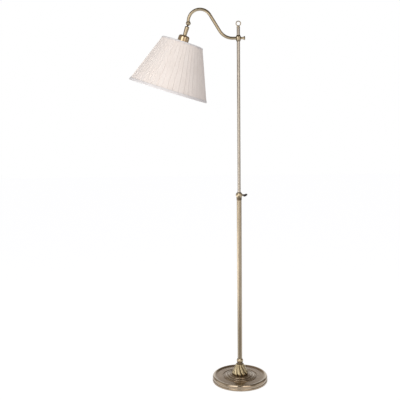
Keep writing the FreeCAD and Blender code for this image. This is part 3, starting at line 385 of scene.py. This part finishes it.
dress(antique_brass("antique brass, spun cover", "#9c8a73", "#846f58", (0.36, 0.27), line=0.0035,
                    darkened=cover_corners, polished=cover_edges, cloud=0.03), "base_cover")


# Boss and ball. A cast boss with ten round lobes that wind down a cone, with the dark bath
# left in its valleys, and a turned ball above it; both are held by the tie rod.


def boss_valleys(tree, place, radius, height):
    """Dark bath in the valleys: high where the cosine of ten times the angle, less the twist
    of 33 degrees over the boss's 43.5 mm, is near 1; valleys start at angle zero at the top."""
    split = add(tree, "SeparateXYZ", {0: place}).outputs
    angle = add(tree, "Math", {0: split["Y"], 1: split["X"]}, operation="ARCTAN2").outputs[0]
    below = add(tree, "Math", {0: 0.0735, 1: split["Z"]}, operation="SUBTRACT").outputs[0]
    twist = add(tree, "Math", {0: below, 1: math.radians(33) / 0.0435}, operation="MULTIPLY").outputs[0]
    phase = add(tree, "Math", {0: angle, 1: twist}, operation="SUBTRACT").outputs[0]
    tenfold = add(tree, "Math", {0: phase, 1: 10.0}, operation="MULTIPLY").outputs[0]
    wave = add(tree, "Math", {0: tenfold}, operation="COSINE").outputs[0]
    valley = between(tree, wave, 0, 0.4, 0.2, 1.0)
    # Painted shade under the rounded foot: below 35 mm the boss is drawn darker towards its bottom.
    foot = between(tree, split["Z"], 0.45, 0, 0.030, 0.035)
    return add(tree, "Math", {0: valley, 1: foot}, operation="MAXIMUM").outputs[0]


def shade_and_bath_at_ball(tree, place, radius, height):
    """Painted shade in the narrow neck under the ball, where the crease between ball and boss lies in
    shade, and dark bath where the tube stands in it.
    """
    # Painted shade: below 77.8 mm the ball is drawn up to three quarters dark.
    under = between(tree, height, 0.75, 0, 0.0778, 0.0798)
    return add(tree, "Math", {0: under, 1: between(tree, height, 0, 0.5, 0.0957, 0.0968)},
               operation="MAXIMUM").outputs[0]


dress(antique_brass("antique brass, cast boss", "#b3a78a", "#968868", (0.3, 0.2), line=0.004,
                    darkened=boss_valleys), "swirl_boss")
dress(antique_brass("antique brass, base ball", line=0.001, darkened=shade_and_bath_at_ball), "base_ball")


# Post. Two drawn brass tubes, the upper one sliding in the lower one through nylon bushes,
# with a turned clamp ball and a thumbscrew with a black paddle that presses a brass pad.



def painted_shade_above_cross(tree, place, radius, height):
    """Painted shade: the end of the upper tube above the cross fitting is drawn darker, in the dark bath
    colour, from 1.41 m up.
    """
    return between(tree, height, 0, 0.3, 1.41, 1.43)


drawn = {"rough": (0.36, 0.3), "line": 0.08, "cloud": 0.08}
dress(antique_brass("antique brass, lower tube", "#aa9e8a", "#998c78", **drawn), "lower_tube")
# The upper tube gets paler, greyer brass than the lower tube, a lit copy of the same brass: painted light.
# Its end above the cross fitting is drawn darker: painted shade.
dress(antique_brass("antique brass, upper tube", "#b6afa5", "#a8a197", darkened=painted_shade_above_cross, **drawn),
      "upper_tube")


def clamp_corner(tree, place, radius, height):
    """Dark bath where the clamp ball's skirt meets the ball and at its mouth."""
    skirt = between(tree, height, 0.8, 0, 0.7795, 0.7815)
    return add(tree, "Math", {0: skirt, 1: between(tree, radius, 0.6, 0, 0.0068, 0.0085)},
               operation="MAXIMUM").outputs[0]


dress(antique_brass("antique brass, clamp ball", line=0.001, darkened=clamp_corner), "clamp_ball")
dress(antique_brass("antique brass, thumbscrew", centre=(0, 0, 0.7885), lean=math.pi / 2, line=0.0008),
      "thumbscrew_shank")

# Nylon: milky and smooth, as turned from rod.
nylon, tree = material("natural nylon")
milk = noise(tree, object_place(tree), 0.003)
close(tree, Base_Color=blended(tree, milk, linear("#e4ddca"), linear("#efeadc")), Roughness=0.42,
      Subsurface_Weight=0.15, Subsurface_Scale=0.002, Normal=bump(tree, milk, 0.00005))
dress(nylon, "neck_bush", "foot_bush")

# Pressed brass of pad and contacts: bare, yellower, with fine rolling lines.
pressed, tree = material("pressed bright brass")
place = object_place(tree)
rolled = noise(tree, place, 0.0008, 3, (1, 1, 6))
close(tree, Base_Color=blended(tree, rolled, linear("#c29a52"), linear("#d9b66c")), Metallic=1.0,
      Roughness=between(tree, rolled, 0.22, 0.36), Normal=bump(tree, rolled, 0.00002))
dress(pressed, "clamp_pad", "screw_shell", "centre_contact")


# Cross fitting, arm and finial. A turned barrel joins the post and the swan-neck arm, which
# is bent from 12 mm tube; a trumpet nut closes it on the other side, and a wire loop is
# screwed on the top of the post.


def cross_ends(tree, place, radius, height):
    """Dark bath at the barrel's two ends, beside the post."""
    low = between(tree, height, 0.8, 0, 1.3955, 1.399)
    return add(tree, "Math", {0: low, 1: between(tree, height, 0, 0.8, 1.413, 1.4165)},
               operation="MAXIMUM").outputs[0]


dress(antique_brass("antique brass, cross fitting", line=0.001, darkened=cross_ends), "cross_ball")
dress(antique_brass("antique brass, swan neck", centre=(-0.12, 0, 1.43), line=0.08, cloud=0.05), "arm_tube")
dress(antique_brass("antique brass, trumpet nut", centre=(0, 0, 1.406), lean=math.pi / 2, line=0.001),
      "arm_nut")
dress(antique_brass("antique brass, loop", centre=(0, 0, 1.4615), line=0.004), "ring_finial")


# Knuckle. A slotted ball brazed on the arm's end takes the flat tongue of the stem; a screw,
# a nut and two steel friction washers let the shade tilt and hold it.

PIVOT = (-0.193875, 0, 1.464807)
LEAN = math.radians(18)

dress(antique_brass("antique brass, knuckle", centre=PIVOT, line=0.001), "knuckle_ball")
dress(antique_brass("antique brass, pivot screw", centre=PIVOT, line=0.0006), "pivot_screw", "pivot_nut")


def stem_neck(tree, place, radius, height):
    """Dark bath round the neck of the tongue, where it enters the ball's slot."""
    return between(tree, height, 0, 0.85, -0.0165, -0.0125)


dress(antique_brass("antique brass, stem", centre=PIVOT, lean=LEAN, line=0.001, darkened=stem_neck),
      "tongue_stem")
dress(antique_brass("antique brass, cup", "#c2b093", "#a79273", centre=PIVOT, lean=LEAN, line=0.0015),
      "holder_cup")


# Lampholder and bulb. A phenolic lampholder with a screw shell hangs in the cup by a hollow
# nipple; a threaded ring clamps the shade's spider to it, and an opal bulb is screwed in.

phenolic, tree = material("moulded phenolic")
flow = noise(tree, object_place(tree), 0.006)
close(tree, Base_Color=blended(tree, flow, linear("#15110f"), linear("#1f1916")), Roughness=0.28,
      Coat_Weight=0.2, Normal=bump(tree, noise(tree, object_place(tree), 0.0008), 0.00001))
dress(phenolic, "lampholder_cap", "lampholder_body", "shade_ring")

nickel, tree = material("nickel-plated cap")
spun = noise(tree, object_place(tree, PIVOT, LEAN), 0.0006, 3, (6, 6, 1))
close(tree, Base_Color=blended(tree, spun, linear("#bdbab3"), linear("#d2d0ca")), Metallic=1.0,
      Roughness=between(tree, spun, 0.2, 0.34), Normal=bump(tree, spun, 0.00001))
dress(nickel, "bulb_cap")

opal, tree = material("opal glass")
cloud = noise(tree, object_place(tree), 0.02)
close(tree, Base_Color=blended(tree, cloud, linear("#f1eee8"), linear("#f8f6f2")), Roughness=0.07,
      Subsurface_Weight=0.4, Subsurface_Scale=0.004, Normal=bump(tree, cloud, 0.00005))
dress(opal, "bulb_glass")


# Shade frame and lining. A three-armed steel spider and two wire rings, powder-coated white,
# carry a cone of cloth laminated on clear sheet, glued in an overlap at the back.

powder, tree = material("white powder coat")
peel = noise(tree, object_place(tree), 0.0015, 2)
close(tree, Base_Color=blended(tree, peel, linear("#e6e3dc"), linear("#efece6")),
      Roughness=between(tree, peel, 0.4, 0.52), Normal=bump(tree, peel, 0.00006))
dress(powder, "shade_spider", "shade_top_wire", "shade_foot_wire")

SHADE_TOP, SHADE_FOOT = 0.0753, 0.2721
TOP_RADIUS, FOOT_RADIUS = 0.0815, 0.1595
LINING_SHARE = 0.9755  # the lining's radius as a share of the radius over the pleats


def cone(below):
    """The shade's radius over its pleats, at a distance below the pivot along its axis."""
    return TOP_RADIUS + (below - SHADE_TOP) * (FOOT_RADIUS - TOP_RADIUS) / (SHADE_FOOT - SHADE_TOP)


def hung(radius, turn, below):
    """A point of the hanging shade: radius, angle from the front, and distance below the
    pivot, turned out with the shade by 18 degrees."""
    x, y = radius * np.sin(turn), -radius * np.cos(turn)
    return np.stack([PIVOT[0] + x * math.cos(LEAN) - below * math.sin(LEAN), y + 0 * x,
                     PIVOT[2] - x * math.sin(LEAN) - below * math.cos(LEAN)], axis=-1)


def woven(tree, place, thread):
    """A plain weave, 0 to 1: the product of two waves at right angles, a thread apart."""
    split = add(tree, "SeparateXYZ", {0: place}).outputs
    waves = [add(tree, "Math", {0: add(tree, "Math", {0: split[axis], 1: math.pi / thread},
                                       operation="MULTIPLY").outputs[0]}, operation="SINE").outputs[0]
             for axis in ("X", "Y")]
    both = add(tree, "Math", {0: waves[0], 1: waves[1]}, operation="MULTIPLY").outputs[0]
    return between(tree, both, 0, 1, -1, 1)


laminate, tree = material("laminated cloth lining")
place = object_place(tree, PIVOT, LEAN)
fibres = noise(tree, place, 0.001, 5, (1, 1, 5))
close(tree, Base_Color=blended(tree, fibres, linear("#e9e3d9"), linear("#f2ede5")),
      Roughness=0.6, Normal=bump(tree, fibres, 0.00008))
dress(laminate, "shade_lining")

half_lap, edge_gap = 0.045, 0.0005
turns, belows = np.meshgrid(np.linspace(math.pi - half_lap, math.pi + half_lap, 9),
                            np.linspace(SHADE_FOOT - edge_gap, SHADE_TOP + edge_gap, 40))
overlap = surface("lining_overlap", hung(cone(belows) * LINING_SHARE - 0.00095, turns, belows),
                  closed=False, size=(0.012, 0.212))
overlap.data.flip_normals()
overlap.modifiers.new("thickness", "SOLIDIFY").thickness = 0.0003
overlap.data.materials.append(laminate)
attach(overlap, "head")


# Pleated cloth. Cream cotton in 44 soft hand-laid knife pleats over the lining: each rises
# slowly and drops steeply beside the next one, and no two are quite alike.

PLEATS, STEPS, ROWS = 44, 24, 40
rng = np.random.default_rng(11)
widths = 1 + 0.16 * (rng.random(PLEATS) - 0.5) * 2
starts = np.concatenate([[0], np.cumsum(widths)]) * PLEATS / widths.sum()
fold_share = rng.uniform(0.85, 1.15, PLEATS)
fold_depth = rng.uniform(0.7, 1.0, PLEATS)
sway = rng.normal(0, 0.05, (PLEATS, 2))


def pleated(rows, steps):
    """The cloth's middle surface. Along a pleat, u runs from 0 to 1. The angle goes as u less
    fold times sin(2 pi u) over 2 pi, which slows down at each fold; the radius climbs
    from the lining to the outside as a softened sawtooth of u, and drops at the next fold."""
    t = np.linspace(0, 1, steps, endpoint=False)
    u = np.tile(t - 0.75 * np.sin(2 * np.pi * t) / (2 * np.pi), PLEATS)[None, :]
    pleat = np.repeat(np.arange(PLEATS), steps)[None, :]
    share = np.linspace(0, 1, rows)[:, None]
    below = SHADE_FOOT + (SHADE_TOP - SHADE_FOOT) * share
    fold = (0.6 + 0.08 * share) * fold_share[pleat]
    drift = sway[:, :1] * np.sin(2.2 * np.pi * share.T) + sway[:, 1:] * np.sin(4.7 * share.T)
    ends = np.concatenate([drift, drift[:1]])
    slide = (ends[pleat[0]] * (1 - u.T) + ends[pleat[0] + 1] * u.T).T
    eased = u - fold * np.sin(2 * np.pi * u) / (2 * np.pi)
    along = starts[pleat] + (starts[pleat + 1] - starts[pleat]) * eased
    turn = (along + slide) * 2 * np.pi / PLEATS
    soft = 0.8
    wave = np.arctan2(soft * np.sin(2 * np.pi * u), 1 - soft * np.cos(2 * np.pi * u))
    climb = 0.5 - wave / np.pi
    deep = (0.0034 - 0.0019 * share) * fold_depth[pleat]
    crown = 0.00025 * np.sin(np.pi * u) ** 2
    radius = cone(below) - 0.0002 - deep * (1 - climb) - crown * (1 - climb)
    return hung(radius, turn, below + 0 * turn)


CLOTH = (0.98, 0.212)
cloth = surface("pleated_cloth", pleated(ROWS, STEPS), size=CLOTH)
thick = cloth.modifiers.new("thickness", "SOLIDIFY")
thick.thickness, thick.offset = 0.0003, 0

# Cotton: matt, cream, with slubs along the threads; the weave is drawn 1.2 mm apart, three
# times its real spacing, so that it shows.
cotton, tree = material("cream pleated cotton")
flat = add(tree, "UVMap", uv_map="flat").outputs[0]
slubs = noise(tree, flat, 0.0015, 4, (1, 14, 1))
weave = woven(tree, flat, 0.0012)
tone = add(tree, "Mix", {0: 0.3, 2: noise(tree, flat, 0.03, 3, (1, 3, 1)), 3: slubs}).outputs[0]
height = add(tree, "Mix", {0: 0.35, 2: slubs, 3: weave}).outputs[0]
close(tree, Base_Color=blended(tree, between(tree, tone, 0, 1), linear("#efe5dc"), linear("#f6eee7")),
      Roughness=0.85, Sheen_Weight=0.15, Sheen_Roughness=0.4, Normal=bump(tree, height, 0.00003))
cloth.data.materials.append(cotton)
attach(cloth, "head")
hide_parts("shade_pleats")


# Ribbons. Grosgrain tape, cool grey beside the cream, is folded over each edge of the shade
# and round its wire, glued down, and lapped at the back.


def taped(name, edge, inwards, tall, columns=352):
    """A tape, tall outside, that goes over the shade's edge and round the wire.
    Its section is a row of points, eased by averaging neighbours; it is carried round the
    cone, lifted a little by each pleat under it and by the lap at the back."""
    wire_level = edge - inwards * 0.003
    wire_radius = cone(wire_level) * LINING_SHARE - 0.00324

    def at(level, off):
        """A point of the section: a level in from the edge, and off the cone outwards."""
        return cone(edge + inwards * level) + off, edge + inwards * level

    section = np.array([
        at(-tall, 0.0003), at(-0.7 * tall, 0.0003), at(-0.4 * tall, 0.0003), at(-0.0008, 0.0003),
        at(0.0003, -0.0008), at(0.0004, -0.0035), (wire_radius + 0.0006, edge + inwards * 0.0003),
        (wire_radius - 0.0017, wire_level + inwards * 0.0016), (wire_radius - 0.0023, wire_level),
        (wire_radius - 0.0015, wire_level - inwards * 0.0017),
        (wire_radius + 0.0006, wire_level - inwards * 0.0026), at(-0.0068, -0.005548),
        at(-0.0085, -0.0051)])
    reach = np.concatenate([[0], np.cumsum(np.hypot(*np.diff(section, axis=0).T))])
    steps = np.linspace(0, reach[-1], 34)
    radius, below = np.interp(steps, reach, section[:, 0]), np.interp(steps, reach, section[:, 1])
    for _ in range(3):
        radius[1:-1] = (radius[:-2] + 2 * radius[1:-1] + radius[2:]) / 4
        below[1:-1] = (below[:-2] + 2 * below[1:-1] + below[2:]) / 4
    turn = np.linspace(0, 2 * np.pi, columns, endpoint=False)[None, :]
    outside = np.clip(1 - steps / (tall + 0.0005), 0, 1)[:, None]
    lap = 0.0004 / (1 + np.exp(-(turn - math.pi) * 900)) * (turn < math.pi + 0.16)
    lift = outside * (0.00012 * np.cos(PLEATS * turn) + lap)
    if inwards < 0:
        radius, below, lift = radius[::-1], below[::-1], lift[::-1]
    size = float(2 * np.pi * radius.mean()), float(reach[-1])
    piece = surface(name, hung(radius[:, None] + lift, turn, below[:, None] + 0 * turn), size=size)
    thickness = piece.modifiers.new("thickness", "SOLIDIFY")
    thickness.thickness, thickness.offset = 0.0003, 0
    return piece, size


# Grosgrain: fine ribs across the tape, drawn 1.6 mm apart, twice their real spacing, so that
# they show, with a slight silky sheen.
tape, tree = material("grey grosgrain ribbon")
flat = add(tree, "UVMap", uv_map="flat").outputs[0]
along = add(tree, "SeparateXYZ", {0: flat}).outputs["X"]
phase = add(tree, "Math", {0: along, 1: 2 * math.pi / 0.0016}, operation="MULTIPLY").outputs[0]
ribs = add(tree, "Math", {0: phase}, operation="SINE").outputs[0]
shading = noise(tree, flat, 0.004, 3)
close(tree, Base_Color=blended(tree, shading, linear("#e0dcdb"), linear("#ebe8e6")), Roughness=0.6,
      Sheen_Weight=0.3, Sheen_Roughness=0.3, Normal=bump(tree, between(tree, ribs, 0, 1, -1, 1), 0.00004))

for name, edge, inwards, tall, node in (("top_ribbon", SHADE_TOP, -1, 0.0056, "shade_top_trim"),
                                        ("foot_ribbon", SHADE_FOOT, 1, 0.0095, "shade_foot_trim")):
    ribbon, size = taped(name, edge, inwards, tall)
    ribbon.data.materials.append(tape)
    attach(ribbon, "head")
    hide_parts(node)
